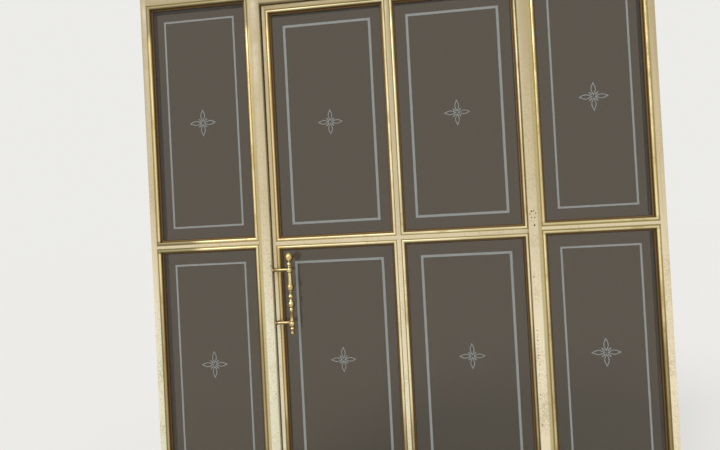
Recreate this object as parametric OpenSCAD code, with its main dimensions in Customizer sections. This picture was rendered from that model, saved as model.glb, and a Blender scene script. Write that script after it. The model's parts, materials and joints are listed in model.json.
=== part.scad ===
// Glazed entrance door: one hinged leaf between two fixed sidelights.
// X runs along the screen, +Y points indoors, +Z up. The origin lies on the
// underside of the threshold, in the middle of the doorway and of the frame's depth.

/* [Frame] */
// Overall width of the screen
screen_w = 2068; // [1900:2:2400]
// Overall height of the screen
screen_h = 2340; // [2200:2:2600]
// Depth of the frame bars from front to back
frame_d = 60; // [50:1:80]
// Clear width between the faces of the two door posts
doorway_w = 1039; // [900:1:1100]
// Width of a door post behind its bead, from doorway to sidelight daylight
post_w = 69.5; // [60:0.5:90]
// Width of a jamb from the wall to the sidelight daylight
jamb_w = 47; // [44:1:70]
// Height of the head bar over the sidelight daylight
head_h = 57; // [50:1:90]
// Height of the head bar over the leaf
door_head_h = 69; // [60:1:110]
// Height of the threshold bar
threshold_h = 10; // [8:1:15]

/* [Bars and levels] */
// Height of the middle of the sidelight transoms
transom_z = 1279; // [1100:1:1400]
// Height of the middle of the leaf's middle rail
middle_rail_z = 1271; // [1100:1:1400]
// Height of the lower daylight edge of the lower panes
pane_foot_z = 322; // [260:1:420]
// Height of the lower daylight edge of the kick panels in the sidelights
kick_foot_z = 112; // [90:1:140]
// Height of the lower daylight edge of the kick panel in the leaf
leaf_kick_foot_z = 120; // [90:1:150]
// Cream band that shows between the two beads of a sidelight bar
side_band = 12; // [8:1:30]

/* [Leaf] */
// Gap between the leaf's lock edge and the post
lock_gap = 7; // [6:0.5:10]
// How far the leaf's hinge edge reaches behind the hinge side plate
hinge_lap = 11.5; // [8:0.5:20]
// Distance from the frame's face back to the leaf's face
leaf_setback = 14; // [12:1:20]
// Gap over and under the leaf
leaf_gap = 7; // [6:0.5:10]
// Width of the flat band along the leaf's lock edge
lock_band = 14; // [14:0.5:40]
// Width of the flat band along the leaf's hinge edge
hinge_band = 10; // [9:0.5:20]
// Width of the flat band along the leaf's top
top_band = 18; // [10:1:40]
// Width of the flat band between two beads of the leaf
leaf_band = 16; // [10:1:40]

/* [Glazing] */
// Thickness of the glass and of the kick panels
glass_t = 6; // [5:1:10]
// Depth from the face of a bar to the front of the glass
glass_in = 16; // [14:1:18]
// How far the glass reaches behind the bead
glass_cover = 12; // [8:1:16]
// Width of the half-round of a bead
bead_round_w = 11; // [8:0.5:12]
// Width of the cove between the half-round and the glass
bead_cove_w = 7; // [4:0.5:7]
// How far the half-round stands proud of the bar
bead_proud = 1.5; // [0:0.5:2]
// Width of the flat outer fillet of a sidelight bead
side_fillet = 4; // [2:1:9]
// Width of the flat outer fillet of a leaf bead
leaf_fillet = 2; // [2:1:9]

/* [Hinges] */
// Radius of a hinge barrel
barrel_r = 9; // [8:0.5:10]
// Length of one half of a hinge barrel
barrel_h = 52; // [40:1:60]
// Radius of the hinge pin
pin_r = 5; // [4:0.5:5]
// Distance of the hinge axis behind the frame's back face
hinge_back = 11; // [10:0.5:14]

/* [Pull handle] */
// Height of the handle's lower arm
arm_low_z = 949; // [850:1:1050]
// Distance between the two arms
arm_pitch = 215; // [215:1:260]
// Distance of the grip's axis from the leaf's face
grip_out = 60; // [50:1:80]
// Distance of the grip's axis from the leaf's lock edge
grip_in = 79; // [70:1:100]
// Radius of the grip's top ball
top_ball_r = 18; // [14:0.5:18]
// Radius of the grip's middle bulb
bulb_r = 15.5; // [14:0.5:15.5]
// Radius of an arm
arm_r = 6.5; // [5.5:0.25:6.5]

/* [Hidden] */
$fn = 64;

cream = [0.90, 0.86, 0.74];
brass = [0.80, 0.62, 0.25];
steel = [0.52, 0.50, 0.47];
clear = [0.70, 0.80, 0.80, 0.35];

// Frame planes and edges
half_w = screen_w / 2;
front_y = -frame_d / 2;
back_y = frame_d / 2;
rebate_d = glass_in + glass_t;
side_bead_w = side_fillet + bead_round_w + bead_cove_w;
leaf_bead_w = leaf_fillet + bead_round_w + bead_cove_w;
door_half = doorway_w / 2;
side_out = half_w - jamb_w;
side_in = door_half + post_w;
side_top = screen_h - head_h;
side_bar_h = side_band + 2 * side_bead_w;
transom_top = transom_z + side_bar_h / 2;
transom_foot = transom_z - side_bar_h / 2;
lower_rail_z = pane_foot_z - side_bar_h / 2;
kick_top = pane_foot_z - side_bar_h;
// How far the bead's flat fillet lies under the face of the bar
fillet_step = 3;

// Leaf planes and edges
leaf_front = front_y + leaf_setback;
leaf_left = -door_half + lock_gap;
leaf_right = door_half + hinge_lap;
leaf_mid = (leaf_left + leaf_right) / 2;
leaf_foot = threshold_h + leaf_gap;
leaf_top = screen_h - door_head_h - leaf_gap;
leaf_bar = leaf_band + 2 * leaf_bead_w;
pane_left = leaf_left + lock_band + leaf_bead_w;
pane_right = leaf_right - hinge_band - leaf_bead_w;
pane_top = leaf_top - top_band - leaf_bead_w;
muntin_left = leaf_mid - leaf_bar / 2;
muntin_right = leaf_mid + leaf_bar / 2;
middle_top = middle_rail_z + leaf_bar / 2;
middle_foot = middle_rail_z - leaf_bar / 2;
leaf_lower_z = pane_foot_z - leaf_bar / 2;
leaf_kick_top = pane_foot_z - leaf_bar;
// Spans of the rails between the two stiles, front part and back part
rail_front = [leaf_left + lock_band, leaf_right - hinge_band];
rail_back = [pane_left, pane_right];

// Low strip along the bead on the face of each post
post_strip_w = 8;
post_strip_d = 1.5;

// The plate in front of the leaf's hinge edge and the room round that edge
swing_gap = 5;
plate_t = leaf_setback - swing_gap;
hinge_room = 9;
hinge_post_x = leaf_right + hinge_room;

// Hinges; hinge_out is the distance from the leaf's edge out to the axis
hinge_out = 4.5;
hinge_x = leaf_right + hinge_out;
hinge_y = back_y + hinge_back;
hinge_zs = [230, 1136, 2042];
pin_play = 0.05;
bore_r = pin_r + pin_play;
wing_t = 6;
wing_w = 34;
half_gap = 1;
cap_h = 4;
cap_r = 5;
// How far the pin stops short of the moving barrel's top and the bore runs past the pin
pin_short = 8;
bore_spare = 4;
pin_up = barrel_h - pin_short;
bore_depth = pin_up + bore_spare;

// Stop strip on the leaf's back
strip_gap = 5;
strip_t = 4;
strip_rib = 8;
strip_lap = 10;
strip_in = 8;

// Pull handle
grip_x = leaf_left + grip_in;
grip_y = leaf_front - grip_out;
// Height of the lower arm over the grip's tip and of the cap's top over the upper arm
low_eye_h = 45;
cap_len = 70;
high_eye_h = low_eye_h + arm_pitch;
grip_foot_z = arm_low_z - low_eye_h;
neck_r = 7;
// Place of an arm's foot from the lock edge and of the arm's axis from the leaf's face
foot_in = 9.5;
arm_out = 29;
arm_foot_r = 4;
arm_bend_r = 19;
arm_eye_r = 11.5;
arm_ball_r = 7.8;
eps = 1;

// Lights are [left, right, foot, top] daylight rectangles
left_upper = [-side_out, -side_in, transom_top, side_top];
left_lower = [-side_out, -side_in, pane_foot_z, transom_foot];
left_kick = [-side_out, -side_in, kick_foot_z, kick_top];
leaf_ul = [pane_left, muntin_left, middle_top, pane_top];
leaf_ur = [muntin_right, pane_right, middle_top, pane_top];
leaf_ll = [pane_left, muntin_left, pane_foot_z, middle_foot];
leaf_lr = [muntin_right, pane_right, pane_foot_z, middle_foot];
leaf_kick = [pane_left, pane_right, leaf_kick_foot_z, leaf_kick_top];

function mirrored(l) = [-l[1], -l[0], l[2], l[3]];

// A box from its low and high corners
module block(low, high) {
    translate(low) cube(high - low);
}

// A plan outline stood up from z0 to z1
module upright(z0, z1) {
    translate([0, 0, z0]) linear_extrude(z1 - z0) children();
}

// A level bar with a rebate over and under it. front and back are [x0, x1] spans,
// band is the height of its face, wide the height of its back part.
module level_bar(front, back, z, band, wide, face_y) {
    block([front[0], face_y, z - band / 2], [front[1], face_y + rebate_d, z + band / 2]);
    block([back[0], face_y + rebate_d, z - wide / 2], [back[1], back_y, z + wide / 2]);
}

// Section of a glazing bead: x from the bar towards the glass, y from the glass outwards.
// A flat fillet, a half-round and a cove.
module bead_section(fillet) {
    round_r = bead_round_w / 2;
    round_y = glass_in + bead_proud - round_r;
    width = fillet + bead_round_w + bead_cove_w;
    cove_r = bead_cove_w - 1;
    toe = 2;
    difference() {
        union() {
            square([width, round_y]);
            square([fillet, glass_in - fillet_step]);
            translate([fillet + round_r, round_y]) circle(r = round_r);
        }
        translate([width, toe + cove_r]) circle(r = cove_r);
        translate([width - cove_r, toe + cove_r]) square([cove_r + eps, round_y]);
    }
}

// One straight length of bead along +X with both ends mitred, lying on the glass.
// Its outer edge is y = 0 and it grows towards +Y.
module bead_length(len, fillet) {
    reach = fillet + bead_round_w + bead_cove_w;
    intersection() {
        rotate([90, 0, 90]) linear_extrude(len) bead_section(fillet);
        linear_extrude(glass_in + bead_proud + eps)
            polygon([[0, 0], [len, 0], [len - reach, reach], [reach, reach]]);
    }
}

// A closed ring of bead round a light, on glass whose front lies at y
module bead_ring(light, y, fillet) {
    reach = fillet + bead_round_w + bead_cove_w;
    w = light[1] - light[0] + 2 * reach;
    h = light[3] - light[2] + 2 * reach;
    translate([light[0] - reach, y, light[2] - reach]) rotate([90, 0, 0]) {
        bead_length(w, fillet);
        translate([w, 0, 0]) rotate([0, 0, 90]) bead_length(h, fillet);
        translate([w, h, 0]) rotate([0, 0, 180]) bead_length(w, fillet);
        translate([0, h, 0]) rotate([0, 0, -90]) bead_length(h, fillet);
    }
}

// A sheet of glass or a panel behind the bead of a light, front face at y
module sheet(light, y) {
    block(
        [light[0] - glass_cover, y, light[2] - glass_cover],
        [light[1] + glass_cover, y + glass_t, light[3] + glass_cover]
    );
}

module jamb() {
    upright(0, screen_h) polygon([
        [-half_w, front_y],
        [-side_out - side_bead_w, front_y],
        [-side_out - side_bead_w, front_y + rebate_d],
        [-side_out, front_y + rebate_d],
        [-side_out, back_y],
        [-half_w, back_y]
    ]);
}

module left_jamb() {
    color(cream) jamb();
}

module right_jamb() {
    color(cream) mirror([1, 0, 0]) jamb();
}

module left_post() {
    color(cream) upright(0, screen_h) polygon([
        [-door_half, front_y],
        [-door_half, back_y],
        [-side_in, back_y],
        [-side_in, front_y + rebate_d],
        [-side_in + side_bead_w, front_y + rebate_d],
        [-side_in + side_bead_w, front_y + post_strip_d],
        [-side_in + side_bead_w + post_strip_w, front_y + post_strip_d],
        [-side_in + side_bead_w + post_strip_w, front_y]
    ]);
}

module right_post() {
    color(cream) upright(0, screen_h) polygon([
        [hinge_post_x, front_y + plate_t],
        [side_in - side_bead_w, front_y + plate_t],
        [side_in - side_bead_w, front_y + rebate_d],
        [side_in, front_y + rebate_d],
        [side_in, back_y],
        [hinge_post_x, back_y]
    ]);
}

// Plate on the face of the right post; its free edge covers the leaf's hinge edge
module hinge_side_plate() {
    plate_right = side_in - side_bead_w;
    color(cream) upright(0, screen_h) polygon([
        [door_half, front_y],
        [plate_right - post_strip_w, front_y],
        [plate_right - post_strip_w, front_y + post_strip_d],
        [plate_right, front_y + post_strip_d],
        [plate_right, front_y + plate_t],
        [door_half, front_y + plate_t]
    ]);
}

// Head over one sidelight, left side
module side_head() {
    block(
        [-side_out - side_bead_w, front_y, side_top + side_bead_w],
        [-side_in + side_bead_w, front_y + rebate_d, screen_h]
    );
    block([-side_out, front_y + rebate_d, side_top], [-side_in, back_y, screen_h]);
}

// A bar between the two door posts from z0 to z1, cut back behind the hinge side plate
module doorway_bar(z0, z1) {
    upright(z0, z1) polygon([
        [-door_half, front_y],
        [door_half, front_y],
        [door_half, front_y + plate_t],
        [hinge_post_x, front_y + plate_t],
        [hinge_post_x, back_y],
        [-door_half, back_y]
    ]);
}

module head_rail() {
    color(cream) {
        side_head();
        mirror([1, 0, 0]) side_head();
        doorway_bar(screen_h - door_head_h, screen_h);
    }
}

module threshold() {
    color(steel) doorway_bar(0, threshold_h);
}

// A sidelight bar between jamb and post, left side
module side_bar(z) {
    level_bar(
        [-side_out - side_bead_w, -side_in + side_bead_w],
        [-side_out, -side_in], z, side_band, side_bar_h, front_y
    );
}

module left_transom() {
    color(cream) side_bar(transom_z);
}

module right_transom() {
    color(cream) mirror([1, 0, 0]) side_bar(transom_z);
}

module left_lower_rail() {
    color(cream) side_bar(lower_rail_z);
}

module right_lower_rail() {
    color(cream) mirror([1, 0, 0]) side_bar(lower_rail_z);
}

// Foot of a sidelight, standing on the floor
module side_base() {
    block(
        [-side_out - side_bead_w, front_y, 0],
        [-side_in + side_bead_w, front_y + rebate_d, kick_foot_z - side_bead_w]
    );
    block([-side_out, front_y + rebate_d, 0], [-side_in, back_y, kick_foot_z]);
}

module side_base_rails() {
    color(cream) {
        side_base();
        mirror([1, 0, 0]) side_base();
    }
}

module side_kick_panels() {
    color(cream) for (light = [left_kick, mirrored(left_kick)]) sheet(light, front_y + glass_in);
}

module left_upper_glass() {
    color(clear) sheet(left_upper, front_y + glass_in);
}

module left_lower_glass() {
    color(clear) sheet(left_lower, front_y + glass_in);
}

module right_upper_glass() {
    color(clear) sheet(mirrored(left_upper), front_y + glass_in);
}

module right_lower_glass() {
    color(clear) sheet(mirrored(left_lower), front_y + glass_in);
}

module left_upper_bead() {
    color(brass) bead_ring(left_upper, front_y + glass_in, side_fillet);
}

module left_lower_bead() {
    color(brass) bead_ring(left_lower, front_y + glass_in, side_fillet);
}

module right_upper_bead() {
    color(brass) bead_ring(mirrored(left_upper), front_y + glass_in, side_fillet);
}

module right_lower_bead() {
    color(brass) bead_ring(mirrored(left_lower), front_y + glass_in, side_fillet);
}

module side_kick_beads() {
    color(brass) for (light = [left_kick, mirrored(left_kick)])
        bead_ring(light, front_y + glass_in, side_fillet);
}

// Fixed hinge halves: barrel, wing on the post's back and a pin that stands up
module frame_hinges() {
    color(cream) for (z = hinge_zs) translate([hinge_x, hinge_y, z - barrel_h - half_gap / 2]) {
        cylinder(r = barrel_r, h = barrel_h);
        translate([0, 0, -cap_h]) cylinder(r1 = cap_r, r2 = barrel_r, h = cap_h);
        cylinder(r = pin_r, h = barrel_h + half_gap + pin_up);
        translate([0, -hinge_back, 0]) cube([wing_w, wing_t, barrel_h]);
    }
}

module lock_stile() {
    color(cream) upright(leaf_foot, leaf_top) polygon([
        [leaf_left, leaf_front],
        [leaf_left + lock_band, leaf_front],
        [leaf_left + lock_band, leaf_front + rebate_d],
        [pane_left, leaf_front + rebate_d],
        [pane_left, back_y],
        [leaf_left, back_y]
    ]);
}

module hinge_stile() {
    color(cream) upright(leaf_foot, leaf_top) polygon([
        [leaf_right, leaf_front],
        [leaf_right - hinge_band, leaf_front],
        [leaf_right - hinge_band, leaf_front + rebate_d],
        [pane_right, leaf_front + rebate_d],
        [pane_right, back_y],
        [leaf_right, back_y]
    ]);
}

module leaf_top_rail() {
    color(cream) {
        block(
            [rail_front[0], leaf_front, leaf_top - top_band],
            [rail_front[1], leaf_front + rebate_d, leaf_top]
        );
        block([rail_back[0], leaf_front + rebate_d, pane_top], [rail_back[1], back_y, leaf_top]);
    }
}

module leaf_middle_rail() {
    color(cream) level_bar(rail_front, rail_back, middle_rail_z, leaf_band, leaf_bar, leaf_front);
}

module leaf_lower_rail() {
    color(cream) level_bar(rail_front, rail_back, leaf_lower_z, leaf_band, leaf_bar, leaf_front);
}

module leaf_base_rail() {
    color(cream) {
        block(
            [rail_front[0], leaf_front, leaf_foot],
            [rail_front[1], leaf_front + rebate_d, leaf_kick_foot_z - leaf_bead_w]
        );
        block([rail_back[0], leaf_front + rebate_d, leaf_foot], [rail_back[1], back_y, leaf_kick_foot_z]);
    }
}

// Upright bar between two rails; z0 and z1 are the daylight edges below and above it
module muntin(z0, z1) {
    block(
        [leaf_mid - leaf_band / 2, leaf_front, z0 - leaf_bead_w],
        [leaf_mid + leaf_band / 2, leaf_front + rebate_d, z1 + leaf_bead_w]
    );
    block([muntin_left, leaf_front + rebate_d, z0], [muntin_right, back_y, z1]);
}

module upper_muntin() {
    color(cream) muntin(middle_top, pane_top);
}

module lower_muntin() {
    color(cream) muntin(pane_foot_z, middle_foot);
}

module leaf_kick_panel() {
    color(cream) sheet(leaf_kick, leaf_front + glass_in);
}

module upper_left_pane() {
    color(clear) sheet(leaf_ul, leaf_front + glass_in);
}

module upper_right_pane() {
    color(clear) sheet(leaf_ur, leaf_front + glass_in);
}

module lower_left_pane() {
    color(clear) sheet(leaf_ll, leaf_front + glass_in);
}

module lower_right_pane() {
    color(clear) sheet(leaf_lr, leaf_front + glass_in);
}

module upper_left_bead() {
    color(brass) bead_ring(leaf_ul, leaf_front + glass_in, leaf_fillet);
}

module upper_right_bead() {
    color(brass) bead_ring(leaf_ur, leaf_front + glass_in, leaf_fillet);
}

module lower_left_bead() {
    color(brass) bead_ring(leaf_ll, leaf_front + glass_in, leaf_fillet);
}

module lower_right_bead() {
    color(brass) bead_ring(leaf_lr, leaf_front + glass_in, leaf_fillet);
}

module leaf_kick_bead() {
    color(brass) bead_ring(leaf_kick, leaf_front + glass_in, leaf_fillet);
}

// Z-shaped strip on the back of the lock stile and the top rail. Its lap reaches
// over the frame's back face and stops the leaf when it closes.
module leaf_stop_strip() {
    rib_x = leaf_left + strip_in;
    rib_z = leaf_top - strip_in;
    color(cream) {
        block([rib_x - strip_rib, back_y, leaf_foot], [rib_x, back_y + strip_gap, rib_z]);
        block(
            [rib_x - strip_rib, back_y, rib_z],
            [leaf_right - wing_w, back_y + strip_gap, rib_z + strip_rib]
        );
        block(
            [leaf_left - lock_gap - strip_lap, back_y + strip_gap, leaf_foot],
            [rib_x, back_y + strip_gap + strip_t, leaf_top + leaf_gap + strip_lap]
        );
        block(
            [rib_x, back_y + strip_gap, rib_z],
            [leaf_right - wing_w, back_y + strip_gap + strip_t, leaf_top + leaf_gap + strip_lap]
        );
    }
}

// Moving hinge halves: barrel with a bore for the pin, wing on the leaf's back
module leaf_hinges() {
    color(cream) for (z = hinge_zs) translate([hinge_x, hinge_y, z + half_gap / 2]) difference() {
        union() {
            cylinder(r = barrel_r, h = barrel_h);
            translate([0, 0, barrel_h]) cylinder(r1 = barrel_r, r2 = cap_r, h = cap_h);
            translate([-wing_w, -hinge_back, 0]) cube([wing_w, wing_t, barrel_h]);
        }
        translate([0, 0, -eps]) cylinder(r = bore_r, h = bore_depth + eps);
    }
}

// Outlines for turning, drawn at x = radius and y = height. A stretch of stem that
// narrows or widens from one radius to the other.
module stem(h0, r0, h1, r1) {
    polygon([[0, h0], [r0, h0], [r1, h1], [0, h1]]);
}

// Middle of the arc over the stem's side, on the outer side for a hollow waist and on
// the inner side for a swelling; sag is how far the arc leaves the straight side
function arc_r(h0, r0, h1, r1, sag) = (pow(norm([r1 - r0, h1 - h0]) / 2, 2) + sag * sag) / (2 * sag);
function arc_mid(h0, r0, h1, r1, out) =
    [(r0 + r1) / 2, (h0 + h1) / 2] + out * [h1 - h0, r0 - r1] / norm([r1 - r0, h1 - h0]);

// A stem with hollow sides
module waist(h0, r0, h1, r1, sag) {
    r = arc_r(h0, r0, h1, r1, sag);
    difference() {
        stem(h0, r0, h1, r1);
        translate(arc_mid(h0, r0, h1, r1, r - sag)) circle(r = r, $fn = 180);
    }
}

// A stem with full, round sides
module swelling(h0, r0, h1, r1, sag) {
    r = arc_r(h0, r0, h1, r1, sag);
    stem(h0, r0, h1, r1);
    intersection() {
        translate([0, h0]) square([max(r0, r1) + sag, h1 - h0]);
        translate(arc_mid(h0, r0, h1, r1, sag - r)) circle(r = r, $fn = 180);
    }
}

// A ring with a half-round rim, t thick
module rim(h, r, t) {
    translate([0, h - 0.45 * t]) square([r - t / 2, 0.9 * t]);
    translate([r - t / 2, h]) circle(d = t);
}

module ball(h, r) {
    translate([0, h]) circle(r = r);
}

// The grip from its lower tip to the top ball
module grip_outline() {
    ball(8, 8);
    waist(13, 6, 24, 7.5, 1);
    rim(26.5, 11, 9);
    waist(29, 8, 32, 8, 0.8);
    stem(31, neck_r, 58, neck_r);
    rim(58.5, 9.5, 3.5);
    waist(59, 9, 97, 7.8, 1.9);
    ball(102, 9.5);
    waist(107, 7.5, 112, 8.5, 1);
    swelling(111, 9, 135, 9, 5.6);
    rim(136.5, 10.5, 3.5);
    waist(137, 9, 152, 9, 2.4);
    rim(154.5, 14, 6);
    waist(157, 9, 177, 8.5, 2.4);
    ball(191, bulb_r);
    waist(202, 11, high_eye_h - 15, 9, 1.2);
    rim(high_eye_h - 14.5, 10, 3);
    stem(high_eye_h - 15, neck_r, high_eye_h + 14, neck_r);
}

// The cap over the upper arm, drawn from the arm's own height
module cap_outline() {
    rim(13.5, 9.5, 3);
    waist(13.5, 8.5, 21, 8.5, 1.2);
    rim(24, 12.5, 9);
    waist(27, 8.5, 40, 7.5, 1.6);
    ball(cap_len - top_ball_r, top_ball_r);
}

// The turned grip of the pull handle
module handle_grip() {
    color(brass) translate([grip_x, grip_y, grip_foot_z]) rotate_extrude($fn = 96) intersection() {
        square([top_ball_r + eps, high_eye_h + cap_len]);
        union() {
            grip_outline();
            translate([0, high_eye_h]) cap_outline();
        }
    }
}

// One arm: a ball with a foot on the stile's flat band, a bar across the bead, a bend
// outwards and a ball-shaped eye round the grip's neck
module handle_arm() {
    foot_x = leaf_left + foot_in;
    bar_y = leaf_front - arm_out;
    bend_x = grip_x - arm_bend_r;
    bend_y = bar_y - arm_bend_r;
    difference() {
        union() {
            translate([foot_x, bar_y, 0]) {
                sphere(r = arm_ball_r);
                rotate([-90, 0, 0]) cylinder(r = arm_foot_r, h = arm_out);
                rotate([0, 90, 0]) cylinder(r = arm_r, h = bend_x - foot_x);
            }
            translate([bend_x, bend_y, 0]) rotate_extrude(angle = 90)
                translate([arm_bend_r, 0]) circle(r = arm_r);
            translate([grip_x, bend_y, 0]) rotate([90, 0, 0]) cylinder(r = arm_r, h = bend_y - grip_y);
            translate([grip_x, grip_y, 0]) sphere(r = arm_eye_r);
        }
        translate([grip_x, grip_y, -arm_eye_r]) cylinder(r = neck_r, h = 2 * arm_eye_r);
    }
}

module handle_arms() {
    color(brass) for (z = [arm_low_z, arm_low_z + arm_pitch]) translate([0, 0, z]) handle_arm();
}

left_jamb();
right_jamb();
left_post();
right_post();
hinge_side_plate();
head_rail();
threshold();
left_transom();
right_transom();
left_lower_rail();
right_lower_rail();
side_base_rails();
side_kick_panels();
left_upper_glass();
left_lower_glass();
right_upper_glass();
right_lower_glass();
left_upper_bead();
left_lower_bead();
right_upper_bead();
right_lower_bead();
side_kick_beads();
frame_hinges();
lock_stile();
hinge_stile();
leaf_top_rail();
leaf_middle_rail();
leaf_lower_rail();
leaf_base_rail();
upper_muntin();
lower_muntin();
leaf_kick_panel();
upper_left_pane();
upper_right_pane();
lower_left_pane();
lower_right_pane();
upper_left_bead();
upper_right_bead();
lower_left_bead();
lower_right_bead();
leaf_kick_bead();
leaf_stop_strip();
leaf_hinges();
handle_grip();
handle_arms();
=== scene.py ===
import json
import math
import random
import bpy
from mathutils import Euler, Matrix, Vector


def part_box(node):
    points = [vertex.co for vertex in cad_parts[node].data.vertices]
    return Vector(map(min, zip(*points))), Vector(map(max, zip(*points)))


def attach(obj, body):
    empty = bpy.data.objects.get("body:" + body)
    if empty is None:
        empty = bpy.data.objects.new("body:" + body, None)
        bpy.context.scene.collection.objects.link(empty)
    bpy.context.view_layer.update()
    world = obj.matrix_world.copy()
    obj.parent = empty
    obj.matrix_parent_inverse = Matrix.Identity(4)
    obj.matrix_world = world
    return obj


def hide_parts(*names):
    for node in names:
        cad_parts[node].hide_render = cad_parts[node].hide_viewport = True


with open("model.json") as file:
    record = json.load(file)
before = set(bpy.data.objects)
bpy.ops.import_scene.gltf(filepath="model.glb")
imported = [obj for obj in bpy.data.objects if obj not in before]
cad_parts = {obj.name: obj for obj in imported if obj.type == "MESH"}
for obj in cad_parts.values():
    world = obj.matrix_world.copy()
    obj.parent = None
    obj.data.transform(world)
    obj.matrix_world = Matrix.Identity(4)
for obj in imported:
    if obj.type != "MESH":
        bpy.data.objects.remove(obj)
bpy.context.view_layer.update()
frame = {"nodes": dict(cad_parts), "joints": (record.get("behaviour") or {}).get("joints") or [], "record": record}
scene = bpy.context.scene

# Planes of the screen, in metres. The outdoor side looks along -Y.
POST_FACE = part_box("left_post")[0].y
BACK_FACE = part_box("left_post")[1].y
LEAF_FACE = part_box("lock_stile")[0].y

# How wide the brass beads are, how far their crests stand proud of the bars, and how far
# the beads and bars cover each edge of a pane
BEAD_WIDE = 0.018
BEAD_PROUD = 0.0015
GLASS_COVER = 0.012

# Pull handle: the grip's axis, the arms' bars, and the foot and outer end of the arms
GRIP_X = -0.4335
GRIP_Y = -0.076
ARM_Y = -0.045
ARM_HEIGHTS = (0.949, 1.164)
ARM_FOOT_X = -0.503
ARM_END_X = -0.5108

# Barrel hinges: the axis, the middle of each hinge, the size of a wing, and half the gap
# between a fixed wing and the moving wing above it
HINGE_X = frame["joints"][0]["pos_m"][0]
HINGE_MIDDLES = (0.230, 1.136, 2.042)
WING_TALL = 0.052
WING_THICK = 0.006
WING_HALF_GAP = 0.0005

# Etching: how thick the ground lines are and how far they stand out, the widths of the
# border lines, and how far these lie below the upper bead
ETCH_THICK = 0.0003
ETCH_PROUD = 0.0002
SIDE_BORDER_WIDE = 0.0075
LEAF_BORDER_WIDE = 0.0100
BORDER_BELOW_TOP = 0.048
# How far each pane's border line lies from its left, right and lower bead
BORDER_INSETS = {
    "left_upper_glass": (0.048, 0.044, 0.048),
    "left_lower_glass": (0.048, 0.043, 0.048),
    "right_upper_glass": (0.048, 0.046, 0.045),
    "right_lower_glass": (0.048, 0.046, 0.048),
    "upper_left_pane": (0.050, 0.043, 0.048),
    "upper_right_pane": (0.045, 0.048, 0.048),
    "lower_left_pane": (0.052, 0.038, 0.048),
    "lower_right_pane": (0.056, 0.046, 0.048),
}
# How far a star lies off the middle of its pane, to the right and upwards, and how large
# the stars are beside the drawn one
STAR_SHIFTS = {
    "left_lower_glass": (0.0, -0.007),
    "right_upper_glass": (0.007, -0.013),
    "lower_left_pane": (0.005, 0.0),
    "lower_right_pane": (0.008, 0.0),
}
SIDE_STAR_SIZE = 1.03
LEAF_STAR_SIZE = 0.95

# Single chips in the paint of the posts: place across, height and radius
RIGHT_CHIPS = [
    (0.5411, 1.2927, 0.0036), (0.5336, 1.3996, 0.0018), (0.5276, 1.091, 0.0026),
    (0.5310, 0.842, 0.0016), (0.5460, 1.602, 0.0013), (0.5290, 0.514, 0.0024),
]
LEFT_CHIPS = [
    (-0.5245, 1.198, 0.0020), (-0.5228, 1.181, 0.0027), (-0.5421, 1.351, 0.0014),
    (-0.5326, 1.289, 0.0011), (-0.5241, 1.142, 0.0016), (-0.5392, 1.243, 0.0012),
    (-0.5262, 0.655, 0.0022), (-0.5251, 0.412, 0.0026), (-0.5430, 1.874, 0.0012),
]
# How far a chip stands out, how thick it is, and how ragged, as a share of its radius
CHIP_PROUD = 0.00005
CHIP_THICK = 0.00015
CHIP_RAGGED = 0.45

SIDE_PANES = ["left_upper_glass", "left_lower_glass", "right_upper_glass", "right_lower_glass"]
LEAF_PANES = ["upper_left_pane", "upper_right_pane", "lower_left_pane", "lower_right_pane"]
BEADS = [
    "left_upper_bead", "left_lower_bead", "right_upper_bead", "right_lower_bead",
    "side_kick_beads", "upper_left_bead", "upper_right_bead", "lower_left_bead",
    "lower_right_bead", "leaf_kick_bead",
]
HANDLE = ["handle_grip", "handle_arms"]
HINGES = ["frame_hinges", "leaf_hinges"]
# The bars round the leaf, whose cream is darker than the rest as painted shade where the leaf sits back
LEAF_EDGES = ["lock_stile", "hinge_stile", "leaf_top_rail"]


# Making and finishing pieces

def pick_only(piece):
    bpy.ops.object.select_all(action="DESELECT")
    piece.select_set(True)
    bpy.context.view_layer.objects.active = piece


def settle(piece):
    """Puts the piece's place, turn and size into its mesh."""
    pick_only(piece)
    bpy.ops.object.transform_apply(location=True, rotation=True, scale=True)


def start_edit(piece, mode="FACE"):
    """Opens a piece in edit mode with all of it selected."""
    pick_only(piece)
    bpy.ops.object.mode_set(mode="EDIT")
    bpy.ops.mesh.select_mode(type=mode)
    bpy.ops.mesh.select_all(action="SELECT")


def stop_edit():
    bpy.ops.object.mode_set(mode="OBJECT")


def select_corners(piece, wanted):
    """In edit mode, selects the corners whose place passes the test."""
    bpy.ops.mesh.select_mode(type="VERT")
    bpy.ops.mesh.select_all(action="DESELECT")
    bpy.ops.object.mode_set(mode="OBJECT")
    for corner in piece.data.vertices:
        corner.select = wanted(corner.co)
    bpy.ops.object.mode_set(mode="EDIT")


def add_modifier(piece, kind, **settings):
    """Adds a modifier and applies it."""
    pick_only(piece)
    modifier = piece.modifiers.new(kind.lower(), kind)
    for key, value in settings.items():
        setattr(modifier, key, value)
    bpy.ops.object.modifier_apply(modifier=modifier.name)


def ease_edges(piece, width, sharp, segments=2):
    """Rounds each edge that turns by more than the angle sharp, in radians."""
    add_modifier(
        piece, "BEVEL", width=width, segments=segments, limit_method="ANGLE", angle_limit=sharp
    )


def thicken(piece, thick):
    """Gives a flat piece its thickness, behind its front face."""
    add_modifier(piece, "SOLIDIFY", thickness=thick, offset=-1)


def shade_round(piece, degrees):
    """Smooth shading where faces meet at less than this angle."""
    pick_only(piece)
    bpy.ops.object.shade_smooth_by_angle(angle=math.radians(degrees))


def turn_outward(piece):
    """Merges doubled corners and points all faces outwards."""
    start_edit(piece)
    bpy.ops.mesh.remove_doubles(threshold=0.000001)
    bpy.ops.mesh.normals_make_consistent(inside=False)
    stop_edit()


def join(pieces, name):
    pick_only(pieces[0])
    for piece in pieces:
        piece.select_set(True)
    bpy.ops.object.join()
    bpy.context.object.name = name
    return bpy.context.object


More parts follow.
